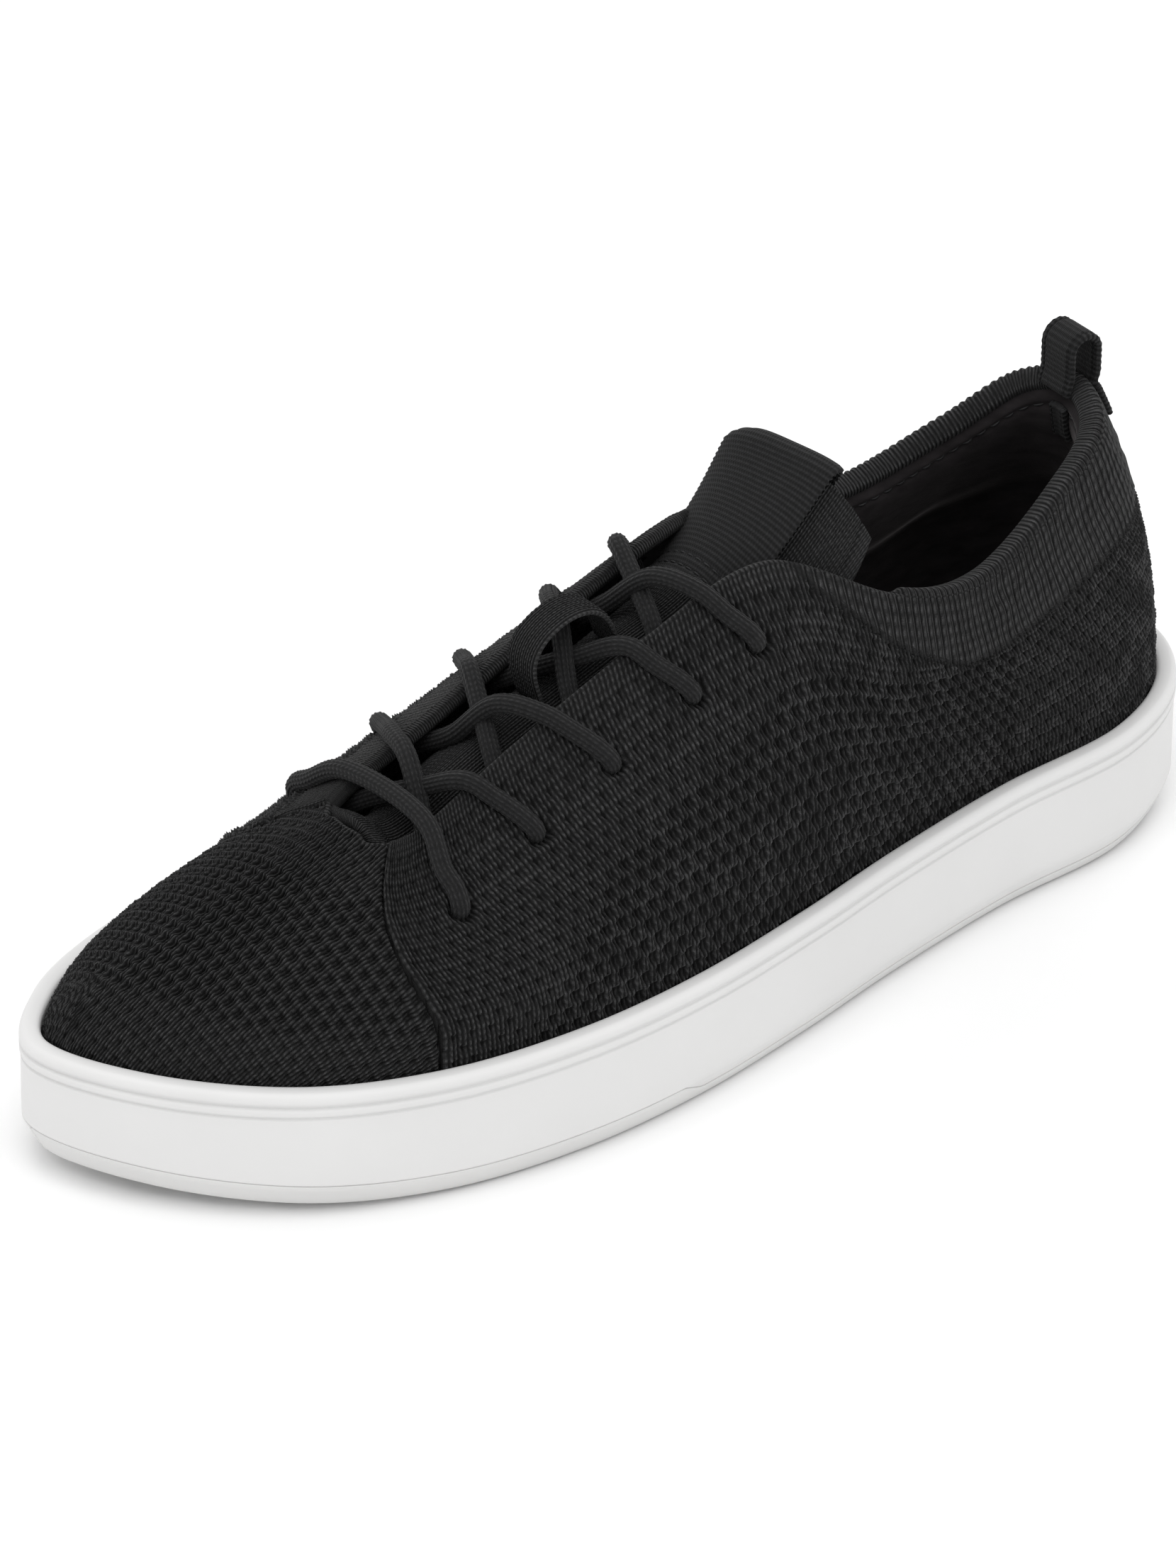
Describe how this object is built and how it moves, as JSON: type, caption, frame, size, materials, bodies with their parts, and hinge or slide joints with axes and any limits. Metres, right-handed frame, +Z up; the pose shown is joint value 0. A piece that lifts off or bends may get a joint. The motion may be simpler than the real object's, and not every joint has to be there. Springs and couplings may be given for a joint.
{
  "type": "knit lace-up sneaker",
  "caption": "Low knit lace-up sneaker for the left foot, with a cupsole, padded collar, laced tongue with a fold-over label, lace keeper and heel pull tab.",
  "frame": {"origin": "on the ground, under the middle of the shoe's bounding box", "axes": "+Z up, +Y towards the heel so the toe points to -Y, +X to the outer side of the left foot"},
  "size_m": [0.1009, 0.2935, 0.1139],
  "materials": {
    "cupsole_rubber": "matte off-white moulded rubber",
    "tread_rubber": "matte off-white rubber with a shallow tread",
    "foam": "soft closed-cell foam",
    "board": "non-woven board, stitched to the upper's edge",
    "footbed_fabric": "short-napped textile over foam",
    "knit": "charcoal knit with open holes and plain edges",
    "lining": "dark suede-like lining",
    "stiffener": "thin moulded sheet",
    "tape": "woven backing tape",
    "webbing": "ribbed woven webbing",
    "lace": "round braided lace",
    "aglet": "shrunk clear-dark film"
  },
  "bodies": {
    "root": {"outsole": "tread_rubber", "cupsole": "cupsole_rubber", "midsole_insert": "foam", "strobel_board": "board", "vamp": "knit", "vamp_lining": "lining", "toe_puff": "stiffener", "quarter_lateral": "knit", "quarter_medial": "knit", "eyestay_backing_lateral": "tape", "eyestay_backing_medial": "tape", "heel_counter": "stiffener", "collar_foam": "foam", "heel_lining": "lining", "collar_binding": "knit", "tongue_knit": "knit", "tongue_foam": "foam", "tongue_lining": "lining", "lace_keeper": "knit", "lace": "lace", "aglet_lateral": "aglet", "aglet_medial": "aglet", "pull_tab_anchor_outer": "webbing", "pull_tab_anchor_inner": "webbing"},
    "tongue_top": {"tongue_top_knit": "knit", "tongue_top_foam": "foam", "tongue_top_lining": "lining", "tongue_label": "webbing"},
    "pull_tab": {"pull_tab": "webbing"},
    "footbed": {"footbed_foam": "foam", "footbed_cover": "footbed_fabric"}
  },
  "joints": [
    {"name": "tongue_flex", "type": "hinge", "parent": "root", "child": "tongue_top", "pos_m": [0, 0.0078, 0.0875], "axis": [1, 0, 0], "range_deg": [-22, 12], "stiffness_Nm_per_rad": 0.15},
    {"name": "pull_tab_flex", "type": "hinge", "parent": "root", "child": "pull_tab", "pos_m": [-0.01, 0.1236, 0.1002], "axis": [1, 0, 0], "range_deg": [-25, 25], "stiffness_Nm_per_rad": 0.01},
    {"name": "footbed_lift", "type": "hinge", "parent": "root", "child": "footbed", "pos_m": [0, -0.135, 0.0185], "axis": [1, 0, 0], "range_deg": [0, 2.5]}
  ]
}
